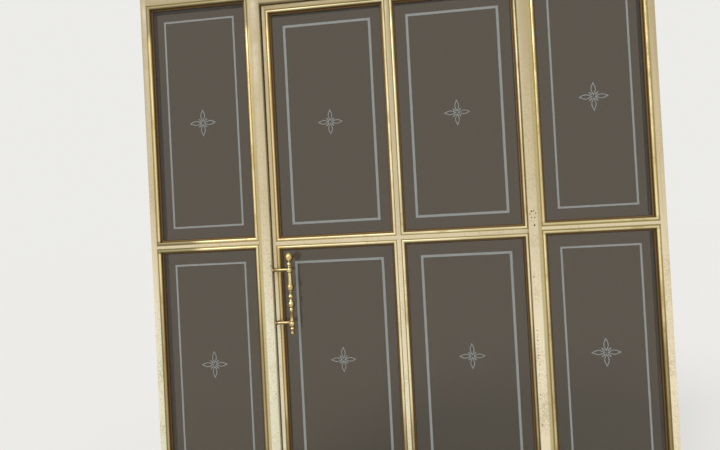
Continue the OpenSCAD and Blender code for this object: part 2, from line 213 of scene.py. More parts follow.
def own_copy(piece, name):
    """A copy with its own mesh."""
    twin = piece.copy()
    twin.data = piece.data.copy()
    twin.name = name
    scene.collection.objects.link(twin)
    return twin


def give(piece, body, material):
    """Gives a finished piece its body and its material."""
    piece.data.materials.clear()
    piece.data.materials.append(material)
    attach(piece, body)


def body_of_node(node):
    for body, members in frame["record"]["behaviour"]["bodies"].items():
        if node in members:
            return body


def slot_of_node(node):
    for part in frame["record"]["subparts"]:
        if part["node"] == node:
            return part["material_slot"]


def welded_copy(node, name):
    """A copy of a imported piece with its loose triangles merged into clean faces."""
    piece = own_copy(frame["nodes"][node], name)
    piece.parent = None
    for key in list(piece.keys()):
        del piece[key]
    start_edit(piece)
    bpy.ops.mesh.customdata_custom_splitnormals_clear()
    bpy.ops.mesh.remove_doubles(threshold=0.00001)
    bpy.ops.mesh.dissolve_limited(angle_limit=math.radians(0.5))
    stop_edit()
    return piece


# Colours and shader nodes

def srgb(red, green, blue):
    """A screen colour from 0 to 255 as the shader's own linear colour."""
    linear = []
    for value in (red, green, blue):
        part = value / 255
        linear.append(part / 12.92 if part <= 0.04045 else ((part + 0.055) / 1.055) ** 2.4)
    return (*linear, 1.0)


def new_material(name):
    """A new material, its node tree and its shader."""
    material = bpy.data.materials.new(name)
    material.use_nodes = True
    tree = material.node_tree
    return material, tree, tree.nodes["Principled BSDF"]


def object_place(tree, scale=(1, 1, 1)):
    """Object coordinates, stretched by a Mapping node."""
    place = tree.nodes.new("ShaderNodeTexCoord")
    mapping = tree.nodes.new("ShaderNodeMapping")
    mapping.inputs["Scale"].default_value = scale
    tree.links.new(place.outputs["Object"], mapping.inputs["Vector"])
    return mapping.outputs["Vector"]


def axis_of_place(tree, axis):
    split = tree.nodes.new("ShaderNodeSeparateXYZ")
    tree.links.new(object_place(tree), split.inputs["Vector"])
    return split.outputs[axis]


def ragged_place(tree, scale, amount):
    """Object coordinates pushed about by a fine noise, so that a round pattern gets ragged."""
    noise = tree.nodes.new("ShaderNodeTexNoise")
    noise.inputs["Scale"].default_value = scale
    tree.links.new(object_place(tree), noise.inputs["Vector"])
    push = tree.nodes.new("ShaderNodeVectorMath")
    push.operation = "MULTIPLY_ADD"
    push.inputs[1].default_value = (amount, amount, amount)
    tree.links.new(noise.outputs["Color"], push.inputs[0])
    tree.links.new(object_place(tree), push.inputs[2])
    return push.outputs["Vector"]


def noise_at(tree, scale, detail, stretch=(1, 1, 1)):
    noise = tree.nodes.new("ShaderNodeTexNoise")
    noise.inputs["Scale"].default_value = scale
    noise.inputs["Detail"].default_value = detail
    tree.links.new(object_place(tree, stretch), noise.inputs["Vector"])
    return noise.outputs["Fac"]


def streaks(tree, detail, waves):
    """A noise drawn out along an axis; waves are its waves to the metre along X, Y and Z."""
    return noise_at(tree, 1.0, detail, waves)


def ramp(tree, value, limits, from_value=0.0, to_value=1.0):
    """Goes smoothly from from_value to to_value as value goes from one limit to the other."""
    spread = tree.nodes.new("ShaderNodeMapRange")
    spread.interpolation_type = "SMOOTHSTEP"
    spread.inputs["From Min"].default_value = limits[0]
    spread.inputs["From Max"].default_value = limits[1]
    spread.inputs["To Min"].default_value = from_value
    spread.inputs["To Max"].default_value = to_value
    tree.links.new(value, spread.inputs["Value"])
    return spread.outputs["Result"]


def blotches(tree, scale, detail, limits, from_value=0.0, to_value=1.0):
    """A noise with its contrast raised by a ramp between the limits."""
    return ramp(tree, noise_at(tree, scale, detail), limits, from_value, to_value)


def cells(tree, place, scale, limits, from_value, to_value):
    """A ramp over the distance from the middles of scattered cells."""
    scatter = tree.nodes.new("ShaderNodeTexVoronoi")
    scatter.inputs["Scale"].default_value = scale
    tree.links.new(place, scatter.inputs["Vector"])
    return ramp(tree, scatter.outputs["Distance"], limits, from_value, to_value)


def fill_sockets(tree, sockets, values):
    """Sets each socket to its value, which is a number, a colour or another node's socket."""
    for socket, value in zip(sockets, values):
        if isinstance(value, (int, float, tuple)):
            socket.default_value = value
        else:
            tree.links.new(value, socket)


def combine(tree, operation, first, second=0.0):
    """A Math node on one or two values."""
    step = tree.nodes.new("ShaderNodeMath")
    step.operation = operation
    fill_sockets(tree, (step.inputs[0], step.inputs[1]), (first, second))
    return step.outputs["Value"]


def mix_colour(tree, factor, first, second):
    """The first colour where factor is 0, and the second where it is 1."""
    mix = tree.nodes.new("ShaderNodeMix")
    mix.data_type = "RGBA"
    fill_sockets(tree, (mix.inputs[0], mix.inputs[6], mix.inputs[7]), (factor, first, second))
    return mix.outputs[2]


def bump(tree, height, strength, distance):
    node = tree.nodes.new("ShaderNodeBump")
    node.inputs["Strength"].default_value = strength
    node.inputs["Distance"].default_value = distance
    tree.links.new(height, node.inputs["Height"])
    return node.outputs["Normal"]


def mix_shaders(tree, share, first, second, output):
    """Shows the first shader where share is 0 and the second where it is 1."""
    mix = tree.nodes.new("ShaderNodeMixShader")
    tree.links.new(share, mix.inputs["Fac"])
    tree.links.new(first, mix.inputs[1])
    tree.links.new(second, mix.inputs[2])
    tree.links.new(mix.outputs["Shader"], tree.nodes[output].inputs["Surface"])


# Cream paint

# Where the paint changes, in metres across (X) or up (Z): the start and end of each change
# Painted shade: the paint turns darker towards the top between these heights
PAINT_TOP_SHADE_Z = (0.70, 1.70)
# Painted light: paler paint on the lower left, within these limits across and up
LIT_LOWER_LEFT_X = (-0.49, -0.46)
LIT_LOWER_LEFT_Z = (0.85, 1.25)
# Painted shade under the head, between these heights
PAINT_HEAD_SHADE_Z = (1.60, 2.20)
FLOOR_DIRT_Z = (0.00, 0.22)
# The olive-tinted strip of each post beside the beads of its sidelight, measured outwards
STRIP_START_X = (0.553, 0.557)
STRIP_END_X = (0.5675, 0.5685)

DIRT = srgb(150, 130, 100)
# Colour of the painted shade under the head
HEAD_SHADE_CREAM = srgb(142, 126, 78)
SPECK = srgb(96, 80, 62)
# Colour of the painted light on the lower left
LIT_CREAM = srgb(228, 226, 200)
STRIP_YELLOW = srgb(180, 164, 112)
POCK_RIM = srgb(180, 166, 130)


def aged_coat_and_top_shade(tree, height, fresh, aged):
    """Paint that has aged in faint clouds, with painted shade that turns it towards the aged colour all over
    towards the top.
    """
    clouds = blotches(tree, scale=2.2, detail=3, limits=(0.36, 0.70), to_value=0.35)
    # Painted shade all over towards the top
    shaded_top = ramp(tree, height, PAINT_TOP_SHADE_Z, to_value=0.75)
    clouds = combine(tree, "MAXIMUM", clouds, shaded_top)
    return mix_colour(tree, clouds, fresh, aged)


def lit_and_shaded_under_head(tree, colour, across, height):
    """Painted light that makes the paint paler on the lower left, and painted shade under the head."""
    left = ramp(tree, across, LIT_LOWER_LEFT_X, 0.7, 0.0)
    below = ramp(tree, height, LIT_LOWER_LEFT_Z, 1.0, 0.0)
    lit_lower_left = combine(tree, "MULTIPLY", left, below)
    colour = mix_colour(tree, lit_lower_left, colour, LIT_CREAM)
    head_shade = ramp(tree, height, PAINT_HEAD_SHADE_Z, to_value=0.46)
    return mix_colour(tree, head_shade, colour, HEAD_SHADE_CREAM)


def tinted_strips(tree, colour, across):
    """An olive-tinted strip on each post, beside the beads of its sidelight."""
    outward = combine(tree, "ABSOLUTE", across)
    past_start = ramp(tree, outward, STRIP_START_X)
    before_end = ramp(tree, outward, STRIP_END_X, 1.0, 0.0)
    strip = combine(tree, "MULTIPLY", past_start, before_end)
    strip = combine(tree, "MULTIPLY", strip, 0.75)
    return mix_colour(tree, strip, colour, STRIP_YELLOW)


def dripped_and_mottled(tree, colour):
    """Faint upright drips, and patches where fine dirt sits in the paint."""
    drips = streaks(tree, detail=3, waves=(130, 130, 2.2))
    drips = ramp(tree, drips, (0.56, 0.74), to_value=0.30)
    colour = mix_colour(tree, drips, colour, DIRT)
    patches = blotches(tree, scale=3.4, detail=2, limits=(0.38, 0.58))
    mottle = blotches(tree, scale=190, detail=2, limits=(0.52, 0.66))
    mottle = combine(tree, "MULTIPLY", patches, mottle)
    mottle = combine(tree, "MULTIPLY", mottle, 0.34)
    return mix_colour(tree, mottle, colour, DIRT)


def pocked_and_specked(tree, colour):
    """Patches of small pocks with ragged rims, and a few dark specks."""
    patches = blotches(tree, scale=5.0, detail=3, limits=(0.47, 0.64))
    ragged = ragged_place(tree, scale=240, amount=0.006)
    rims = cells(tree, ragged, scale=110, limits=(0.40, 0.60), from_value=0.0, to_value=0.42)
    rims = combine(tree, "MULTIPLY", rims, patches)
    colour = mix_colour(tree, rims, colour, POCK_RIM)
    few = blotches(tree, scale=9, detail=1, limits=(0.50, 0.58))
    place = object_place(tree)
    specks = cells(tree, place, scale=42, limits=(0.035, 0.075), from_value=1.0, to_value=0.0)
    specks = combine(tree, "MULTIPLY", specks, few)
    return mix_colour(tree, specks, colour, SPECK)


def dirty_foot(tree, colour, height):
    """Splashes of dirt near the floor."""
    low_dirt = ramp(tree, height, FLOOR_DIRT_Z, 0.55, 0.0)
    splashes = blotches(tree, scale=26, detail=4, limits=(0.35, 0.65), from_value=0.3)
    low_dirt = combine(tree, "MULTIPLY", low_dirt, splashes)
    return mix_colour(tree, low_dirt, colour, DIRT)


def cream_paint(name, fresh, aged):
    """Old brushed gloss paint with its wear, stains and dirt, painted shade towards the top and under the head,
    and painted light on the lower left.
    """
    material, tree, shader = new_material(name)
    height = axis_of_place(tree, "Z")
    across = axis_of_place(tree, "X")
    colour = aged_coat_and_top_shade(tree, height, fresh, aged)
    colour = lit_and_shaded_under_head(tree, colour, across, height)
    colour = tinted_strips(tree, colour, across)
    colour = dripped_and_mottled(tree, colour)
    colour = pocked_and_specked(tree, colour)
    colour = dirty_foot(tree, colour, height)
    tree.links.new(colour, shader.inputs["Base Color"])
    dullness = blotches(tree, scale=14, detail=3, limits=(0.3, 0.7), from_value=0.30, to_value=0.48)
    tree.links.new(dullness, shader.inputs["Roughness"])
    strokes = streaks(tree, detail=2, waves=(420, 420, 16))
    tree.links.new(bump(tree, strokes, strength=0.30, distance=0.0004), shader.inputs["Normal"])
    return material


# Brass of the beads

# Where the painted shade and the darkening of the beads change, in metres: along the level
#  beads (X), up the right beads (Z) and under the head (Z)
LEVEL_SHADE_X = (-0.87, -0.79)
RIGHT_DARK_Z = (0.78, 0.98)
BEAD_TOP_SHADE_Z = (2.13, 2.20)
# A place across with a share of 0, for a change that a brass doesn't have
NO_CHANGE = (0.0, 0.0)

# Worn brass, also the colour of the painted shade on the flank
WORN_AND_SHADED_BRASS = srgb(184, 162, 104)
GOLDEN_BRASS = srgb(196, 160, 84)
# Colour of the painted shade on the level lengths and under the head
SHADED_BRASS = srgb(140, 130, 96)
DARK_FOOT_BRASS = srgb(132, 114, 74)
# Colour of the painted shade in the cove
COVE_SHADE_BROWN = srgb(112, 86, 54)


def level_heights(bead):
    """The heights of the middle of a bead's lower and upper lengths."""
    low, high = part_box(bead)
    return low.z + BEAD_WIDE / 2, high.z - BEAD_WIDE / 2


def tired_and_shaded_brass(tree, depth, crest):
    """How far the shine is gone in stretches and stains, with painted shade on the flank behind the crest, which
    leaves a painted highlight along the crest.
    """
    stretches = blotches(tree, scale=1.7, detail=2, limits=(0.44, 0.62), to_value=0.55)
    stains = blotches(tree, scale=9, detail=4, limits=(0.48, 0.68), to_value=0.6)
    fine = blotches(tree, scale=180, detail=3, limits=(0.35, 0.7), to_value=0.25)
    stains = combine(tree, "ADD", stains, fine)
    tarnish = combine(tree, "MAXIMUM", stretches, stains)
    # Painted shade on the flank behind the crest
    flank = ramp(tree, depth, (crest + 0.0010, crest + 0.0030))
    return combine(tree, "MAXIMUM", tarnish, flank)


def level_shade(tree, across, height, levels):
    """Painted shade on the level lengths of the beads, and 0 on their upright lengths. Each level
    has its height, its shade at the left end and its shade at the right end."""
    half = BEAD_WIDE / 2
    painted_shade = 0.0
    for level, left_share, right_share in levels:
        away = combine(tree, "SUBTRACT", height, level)
        away = combine(tree, "ABSOLUTE", away)
        near = ramp(tree, away, (half, half + 0.004), 1.0, 0.0)
        share = ramp(tree, across, LEVEL_SHADE_X, left_share, right_share)
        near = combine(tree, "MULTIPLY", near, share)
        painted_shade = combine(tree, "MAXIMUM", painted_shade, near)
    return painted_shade


def low_darkening(tree, across, height, dark_feet, dark_right):
    """Darkening on the feet of all beads, and higher up on the beads at the right."""
    foot, clean, feet_share = dark_feet
    feet = ramp(tree, height, (foot, clean), feet_share, 0.0)
    start, right_share = dark_right
    beyond = ramp(tree, across, (start, start + 0.03), 0.0, right_share)
    below = ramp(tree, height, RIGHT_DARK_Z, 1.0, 0.0)
    right = combine(tree, "MULTIPLY", beyond, below)
    return combine(tree, "MAXIMUM", feet, right)


def bead_brass(
    name, bright, crest, dark_feet, shaded_levels=(), under_head_shade=0.0,
    dark_right=NO_CHANGE, golden_left=NO_CHANGE
):
    """Brass that is bright along its crest as a painted highlight, with painted shade on its fillet
    and a brown painted shade in its cove. crest is the crest's place along Y. dark_feet is the
    height up to which the feet are darker, the height where they are plain again, and their
    darkening. shaded_levels names the level lengths with painted shade, and under_head_shade is
    the painted shade close under the head. dark_right is where the darker beads at the right
    start, and their darkening. golden_left is where the deeper gold of the beads at the left
    ends, and its share."""
    material, tree, shader = new_material(name)
    shader.inputs["Metallic"].default_value = 1.0
    depth = axis_of_place(tree, "Y")
    across = axis_of_place(tree, "X")
    height = axis_of_place(tree, "Z")

    tired_and_shaded = tired_and_shaded_brass(tree, depth, crest)
    colour = mix_colour(tree, tired_and_shaded, bright, WORN_AND_SHADED_BRASS)
    golden_end, golden_share = golden_left
    golden = ramp(tree, across, (golden_end, golden_end + 0.02), golden_share, 0.0)
    colour = mix_colour(tree, golden, colour, GOLDEN_BRASS)

    # Painted shade close under the head and on the level lengths
    head_shade_share = ramp(tree, height, BEAD_TOP_SHADE_Z, 0.0, under_head_shade)
    painted_shade = combine(tree, "MAXIMUM", level_shade(tree, across, height, shaded_levels), head_shade_share)
    colour = mix_colour(tree, painted_shade, colour, SHADED_BRASS)
    feet = low_darkening(tree, across, height, dark_feet, dark_right)
    colour = mix_colour(tree, feet, colour, DARK_FOOT_BRASS)
    # Painted shade: brown in the cove towards the glass
    cove = ramp(tree, depth, (crest + 0.0048, crest + 0.0066), 0.0, 0.95)
    colour = mix_colour(tree, cove, colour, COVE_SHADE_BROWN)
    tree.links.new(colour, shader.inputs["Base Color"])

    dull = combine(tree, "MULTIPLY", tired_and_shaded, 0.4)
    for share in (cove, painted_shade, feet):
        dull = combine(tree, "MAXIMUM", dull, share)
    tree.links.new(ramp(tree, dull, (0.0, 1.0), 0.31, 0.60), shader.inputs["Roughness"])
    scratches = streaks(tree, detail=2, waves=(900, 900, 120))
    tree.links.new(bump(tree, scratches, strength=0.10, distance=0.0002), shader.inputs["Normal"])
    return material


# Brass of the pull handle

STAINED_GOLD = srgb(118, 90, 40)


def grip_highlight_and_shade(tree):
    """Painted light on the grip: 0 along its front, a painted highlight, and 1 on its sides and
    back, which get painted shade. The bright strip is turned a little towards the pane. The
    narrow grooves are darkened too."""
    turned_to_pane = 0.25
    front_to_side = (0.16, 0.92)
    groove_radius = (0.0066, 0.0090)
    across = combine(tree, "SUBTRACT", axis_of_place(tree, "X"), GRIP_X)
    forward = combine(tree, "SUBTRACT", GRIP_Y, axis_of_place(tree, "Y"))
    turn = combine(tree, "ARCTAN2", across, forward)
    turn = combine(tree, "SUBTRACT", turn, turned_to_pane)
    turn = combine(tree, "ABSOLUTE", turn)
    sides = ramp(tree, turn, front_to_side)
    across = combine(tree, "MULTIPLY", across, across)
    forward = combine(tree, "MULTIPLY", forward, forward)
    radius = combine(tree, "SQRT", combine(tree, "ADD", across, forward))
    grooves = ramp(tree, radius, groove_radius, 0.8, 0.0)
    return combine(tree, "MAXIMUM", sides, grooves)


def arm_highlight_and_shade(tree):
    """Painted light on the arms: 0 on the front of the eyes, a painted highlight, a middle value
    along the bars and 1 on their upper and lower edges and behind their axis, as painted shade."""
    axis_to_edge = (0.0024, 0.0056)
    front_to_axis = (ARM_Y - 0.0066, ARM_Y - 0.0025)
    front_of_eye = (GRIP_Y - 0.0075, GRIP_Y - 0.0010)
    depth = axis_of_place(tree, "Y")
    middle = sum(ARM_HEIGHTS) / 2
    off_axis = combine(tree, "SUBTRACT", axis_of_place(tree, "Z"), middle)
    off_axis = combine(tree, "ABSOLUTE", off_axis)
    off_axis = combine(tree, "SUBTRACT", off_axis, ARM_HEIGHTS[1] - middle)
    off_axis = combine(tree, "ABSOLUTE", off_axis)
    edges = ramp(tree, off_axis, axis_to_edge, 0.62, 1.0)
    behind = ramp(tree, depth, front_to_axis)
    dull = combine(tree, "MAXIMUM", edges, behind)
    lit_eye_front = ramp(tree, depth, front_of_eye)
    return combine(tree, "MULTIPLY", dull, lit_eye_front)


def handle_gold(name, highlight_gold, shade_gold, shade_share):
    """Lacquered brass with a painted highlight, and painted shade where shade_share says."""
    material, tree, shader = new_material(name)
    shader.inputs["Metallic"].default_value = 1.0
    shader.inputs["Coat Weight"].default_value = 0.2
    shader.inputs["Coat Roughness"].default_value = 0.12
    # Painted highlight on the front and painted shade on the sides and back
    behind = shade_share(tree)
    colour = mix_colour(tree, behind, highlight_gold, shade_gold)
    stains = blotches(tree, scale=34, detail=4, limits=(0.46, 0.66), to_value=0.5)
    colour = mix_colour(tree, stains, colour, STAINED_GOLD)
    tree.links.new(colour, shader.inputs["Base Color"])
    dull = combine(tree, "MAXIMUM", stains, combine(tree, "MULTIPLY", behind, 0.5))
    tree.links.new(ramp(tree, dull, (0.0, 0.5), 0.15, 0.42), shader.inputs["Roughness"])
    rings = streaks(tree, detail=2, waves=(30, 30, 1400))
    tree.links.new(bump(tree, rings, strength=0.10, distance=0.0002), shader.inputs["Normal"])
    return material


# Glass, etching, tape and steel

def tinted_glass():
    """Slightly wavy glass with a grey-brown body. Lamps shine through it."""
    material, tree, shader = new_material("tinted_glass")
    shader.inputs["Base Color"].default_value = srgb(86, 78, 67)
    shader.inputs["Roughness"].default_value = 0.0
    shader.inputs["IOR"].default_value = 1.5
    shader.inputs["Transmission Weight"].default_value = 1.0
    waves = noise_at(tree, scale=3.2, detail=1)
    tree.links.new(bump(tree, waves, strength=0.06, distance=0.002), shader.inputs["Normal"])
    open_way = tree.nodes.new("ShaderNodeBsdfTransparent")
    open_way.inputs["Color"].default_value = srgb(200, 206, 202)
    rays = tree.nodes.new("ShaderNodeLightPath")
    mix_shaders(
        tree, rays.outputs["Is Shadow Ray"], shader.outputs["BSDF"], open_way.outputs["BSDF"],
        "Material Output"
    )
    return material


def etched_frost():
    """The ground surface of the etching: pale, dull and slightly cloudy."""
    material, tree, shader = new_material("etched_frost")
    clouds = blotches(tree, scale=300, detail=3, limits=(0.3, 0.7))
    colour = mix_colour(tree, clouds, srgb(168, 173, 173), srgb(182, 187, 186))
    tree.links.new(colour, shader.inputs["Base Color"])
    shader.inputs["Roughness"].default_value = 0.75
    shader.inputs["Alpha"].default_value = 0.54
    grain = noise_at(tree, scale=1600, detail=2)
    tree.links.new(bump(tree, grain, strength=0.2, distance=0.0002), shader.inputs["Normal"])
    return material


def dark_edge_band():
    """Dark brown, paler in places."""
    material, tree, shader = new_material("dark_edge_band")
    paler_patches = blotches(tree, scale=90, detail=3, limits=(0.35, 0.7))
    colour = mix_colour(tree, paler_patches, srgb(30, 22, 15), srgb(58, 44, 30))
    tree.links.new(colour, shader.inputs["Base Color"])
    shader.inputs["Roughness"].default_value = 0.7
    return material


def worn_steel(name, clean, rusty, share):
    """Bare steel with rust blooms; share is how much of it is rusted."""
    material, tree, shader = new_material(name)
    bloom = blotches(tree, scale=36, detail=5, limits=(0.66 - share, 0.80 - share))
    colour = mix_colour(tree, bloom, clean, rusty)
    tree.links.new(colour, shader.inputs["Base Color"])
    metal = combine(tree, "SUBTRACT", 1.0, bloom)
    tree.links.new(metal, shader.inputs["Metallic"])
    rough = ramp(tree, bloom, (0.0, 1.0), 0.38, 0.85)
    tree.links.new(rough, shader.inputs["Roughness"])
    grain = streaks(tree, detail=2, waves=(14, 900, 900))
    tree.links.new(bump(tree, grain, strength=0.25, distance=0.0003), shader.inputs["Normal"])
    return material


# The materials of this screen

bar_cream = cream_paint("bar_cream", srgb(235, 223, 192), srgb(184, 167, 127))
# A darker cream for the bars round the leaf, as painted shade
shaded_edge_cream = cream_paint("shaded_edge_cream", srgb(224, 207, 168), srgb(176, 158, 112))

side_crest = POST_FACE - BEAD_PROUD
leaf_crest = LEAF_FACE - BEAD_PROUD
upper_foot, upper_top = level_heights("left_upper_bead")
lower_foot, lower_top = level_heights("left_lower_bead")
# Level lengths with painted shade: height, share at the left end and share at the right end
left_levels = (
    (upper_top, 0.9, 0.9),
    (upper_foot, 0.9, 0.1),
    (lower_top, 0.9, 0.1),
    (lower_foot, 0.9, 0.9),
)
right_levels = (
    (level_heights("right_upper_bead")[0], 0.0, 0.35),
    (level_heights("right_lower_bead")[1], 0.0, 0.35),
)
left_brass = bead_brass(
    "left_bead_brass", srgb(250, 234, 184), side_crest, dark_feet=(0.85, 1.20, 0.6),
    shaded_levels=left_levels, under_head_shade=0.85
)
right_brass = bead_brass(
    "right_bead_brass", srgb(255, 242, 190), side_crest, dark_feet=(0.85, 1.20, 0.35),
    shaded_levels=right_levels, dark_right=(0.95, 0.8)
)
leaf_brass = bead_brass(
    "leaf_bead_brass", srgb(255, 247, 208), leaf_crest, dark_feet=(0.45, 0.64, 0.7),
    under_head_shade=0.55, dark_right=(0.47, 0.65), golden_left=(-0.47, 0.45)
)
grip_brass = handle_gold("grip_brass", srgb(250, 230, 164), srgb(130, 98, 46), grip_highlight_and_shade)
arm_brass = handle_gold("arm_brass", srgb(250, 230, 172), srgb(98, 74, 38), arm_highlight_and_shade)

glass = tinted_glass()
frost = etched_frost()
dark_band = dark_edge_band()
threshold_steel = worn_steel("threshold_steel", srgb(150, 146, 138), srgb(110, 78, 52), share=0.06)
screw_steel = worn_steel("screw_steel", srgb(176, 170, 158), srgb(120, 88, 58), share=0.0)
bare_spot = worn_steel("bare_spot", srgb(96, 84, 70), srgb(74, 54, 40), share=0.22)


# Frame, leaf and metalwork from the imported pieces

def painted_bars():
    """Every painted bar with its sharp edges eased, as paint and grinding leave them."""
    for node in frame["nodes"]:
        if slot_of_node(node) != "cream_paint" or node in HINGES:
            continue
        bar = welded_copy(node, node + "_painted")
        ease_edges(bar, width=0.0007, sharp=0.5)
        shade_round(bar, 32)
        # The leaf's edge bars get the darker cream, as painted shade
        coat = shaded_edge_cream if node in LEAF_EDGES else bar_cream
        give(bar, body_of_node(node), coat)
        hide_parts(node)


def brass_of_node(node):
    """The handle, the leaf's beads and the sidelights' beads each have their own brass."""
    if node == "handle_grip":
        return grip_brass
    if node == "handle_arms":
        return arm_brass
    if body_of_node(node) == "door_leaf":
        return leaf_brass
    return left_brass if node.startswith("left") else right_brass


def smooth_metalwork():
    """Beads, handle and hinges with their round faces shaded smooth."""
    for node in BEADS + HANDLE + HINGES:
        piece = welded_copy(node, node + "_finished")
        shade_round(piece, 28)
        if node in HINGES:
            give(piece, body_of_node(node), bar_cream)
        else:
            give(piece, body_of_node(node), brass_of_node(node))
        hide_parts(node)


def dress_packed_pieces():
    """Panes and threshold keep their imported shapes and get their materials."""
    for node in SIDE_PANES + LEAF_PANES:
        frame["nodes"][node].material_slots[0].material = glass
    frame["nodes"]["threshold"].material_slots[0].material = threshold_steel


# Etching and dark bands on the glass

def flat_ring(name, edges, front, thick, width):
    """A thin square-cornered ring that stands upright and faces outdoors. Its edges are its
    left, right, foot and top."""
    left, right, foot, top = edges
    centre = ((left + right) / 2, front, (foot + top) / 2)
    bpy.ops.object.select_all(action="DESELECT")
    bpy.ops.mesh.primitive_plane_add(size=1, location=centre, rotation=(math.pi / 2, 0, 0))
    ring = bpy.context.object
    ring.name = name
    ring.scale = (right - left, top - foot, 1)
    settle(ring)
    start_edit(ring)
    bpy.ops.mesh.inset(thickness=width, depth=0)
    bpy.ops.mesh.delete(type="FACE")
    stop_edit()
    thicken(ring, thick)
    turn_outward(ring)
    return ring


def daylight(node):
    """The glass that shows between the beads: left, right, foot and top."""
    low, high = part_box(node)
    return low.x + GLASS_COVER, high.x - GLASS_COVER, low.z + GLASS_COVER, high.z - GLASS_COVER


def etched_borders():
    """The etched line round each pane. Its distance from the beads varies from pane to pane."""
    for node in SIDE_PANES + LEAF_PANES:
        left, right, foot, top = daylight(node)
        from_left, from_right, from_foot = BORDER_INSETS[node]
        edges = (left + from_left, right - from_right, foot + from_foot, top - BORDER_BELOW_TOP)
        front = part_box(node)[0].y - ETCH_PROUD
        wide = SIDE_BORDER_WIDE if node in SIDE_PANES else LEAF_BORDER_WIDE
        border = flat_ring(node + "_etched_border", edges, front, ETCH_THICK, wide)
        give(border, body_of_node(node), frost)


def dark_edge_bands():
    """The dark band round each pane's daylight: on its front beside the bead, and behind it against the bar."""
    front_thick = 0.0008
    front_wide = 0.0022
    back_thick = 0.0010
    back_wide = 0.0012
    for node in SIDE_PANES + LEAF_PANES:
        edges = daylight(node)
        low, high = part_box(node)
        front = flat_ring(node + "_front_dark_band", edges, low.y - front_thick, front_thick, front_wide)
        back = flat_ring(node + "_back_dark_band", edges, high.y, back_thick, back_wide)
        for ring in (front, back):
            give(ring, body_of_node(node), dark_band)


def star_petal(length, width, line, start):
    """One pointed petal drawn as an outline, reaching up from start above the star's middle."""
    middle = start + length / 2
    side_corner = width * 0.4
    rounding = length * 0.20
    bpy.ops.object.select_all(action="DESELECT")
    bpy.ops.mesh.primitive_circle_add(
        vertices=4, radius=0.5, fill_type="NGON", location=(0, 0, middle),
        rotation=(math.pi / 2, 0, 0)
    )
    petal = bpy.context.object
    petal.scale = (width, length, 1)
    settle(petal)
    start_edit(petal, "VERT")
    select_corners(petal, lambda place: abs(place.x) > side_corner)
    bpy.ops.mesh.bevel(offset=rounding, segments=5, affect="VERTICES")
    bpy.ops.mesh.select_mode(type="FACE")
    bpy.ops.mesh.select_all(action="SELECT")
    bpy.ops.mesh.inset(thickness=line, depth=0)
    bpy.ops.mesh.delete(type="FACE")
    stop_edit()
    return petal


def turned_petals(petal, angles):
    """Copies of a petal, each turned about the star's middle, in place of the petal itself."""
    petals = []
    for angle in angles:
        twin = own_copy(petal, "petal")
        twin.rotation_euler = (0, math.radians(angle), 0)
        settle(twin)
        petals.append(twin)
    bpy.data.objects.remove(petal)
    return petals


def star_pattern():
    """The small star: four long outlined petals and four tiny ones between them."""
    long_petal = star_petal(length=0.0530, width=0.0240, line=0.0029, start=0.0025)
    long_petals = turned_petals(long_petal, (0, 90, 180, 270))
    short_petal = star_petal(length=0.020, width=0.0080, line=0.0022, start=0.006)
    short_petals = turned_petals(short_petal, (45, 135, 225, 315))
    star = join(long_petals + short_petals, "star_pattern")
    thicken(star, ETCH_THICK)
    turn_outward(star)
    return star


def etched_stars():
    """The star in each pane. Those of the leaf are a little smaller than the sidelights'."""
    pattern = star_pattern()
    for node in SIDE_PANES + LEAF_PANES:
        low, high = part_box(node)
        aside, up = STAR_SHIFTS.get(node, (0, 0))
        size = SIDE_STAR_SIZE if node in SIDE_PANES else LEAF_STAR_SIZE
        star = own_copy(pattern, node + "_etched_star")
        star.scale = (size, 1, size)
        star.location = ((low.x + high.x) / 2 + aside, low.y - ETCH_PROUD, (low.z + high.z) / 2 + up)
        settle(star)
        give(star, body_of_node(node), frost)
    bpy.data.objects.remove(pattern)


# Screws, rosettes and collars

def cross_screw():
    """A countersunk screw head with a cross recess, facing indoors at the origin."""
    thick = 0.0012
    recess_long = 0.0046
    recess_wide = 0.0009
    bpy.ops.object.select_all(action="DESELECT")
    bpy.ops.mesh.primitive_cylinder_add(
        vertices=24, radius=0.0042, depth=thick, rotation=(-math.pi / 2, 0, 0)
    )
    head = bpy.context.object
    settle(head)
    ease_edges(head, width=0.0003, sharp=0.9)
    arms = []
    for size in ((recess_long, thick, recess_wide), (recess_wide, thick, recess_long)):
        bpy.ops.mesh.primitive_cube_add(size=1, location=(0, thick / 2, 0))
        arm = bpy.context.object
        arm.scale = size
        settle(arm)
        arms.append(arm)
    for arm in arms:
        add_modifier(head, "BOOLEAN", object=arm, operation="DIFFERENCE", solver="EXACT")
        bpy.data.objects.remove(arm)
    shade_round(head, 30)
    return head


def hinge_screws():
    """Three screws through each hinge wing, on both sides of the hinge. Each is turned on a
    little from the one before."""
    # Each screw's distance from the hinge axis, and its height on the wing
    spread = ((0.0185, 0.010), (0.0280, 0.026), (0.0185, 0.042))
    turned_on = 37
    proud = 0.0002
    head_y = BACK_FACE + WING_THICK + proud
    screw = cross_screw()
    for node, side in (("frame_hinges", 1), ("leaf_hinges", -1)):
        wing_foot = -WING_TALL - WING_HALF_GAP if side > 0 else WING_HALF_GAP
        heads = []
        for middle in HINGE_MIDDLES:
            for across, up in spread:
                head = own_copy(screw, "head")
                head.rotation_euler = (0, math.radians(turned_on * len(heads)), 0)
                head.location = (HINGE_X + side * across, head_y, middle + wing_foot + up)
                settle(head)
                heads.append(head)
        screws = join(heads, node + "_screws")
        give(screws, body_of_node(node), screw_steel)
    bpy.data.objects.remove(screw)


def on_both_arms(lower, name):
    """Copies a piece from the lower arm to the upper one, and finishes both like the arms."""
    upper = own_copy(lower, "upper")
    upper.location = (0, 0, ARM_HEIGHTS[1] - ARM_HEIGHTS[0])
    settle(upper)
    pair = join([lower, upper], name)
    shade_round(pair, 32)
    give(pair, "door_leaf", arm_brass)


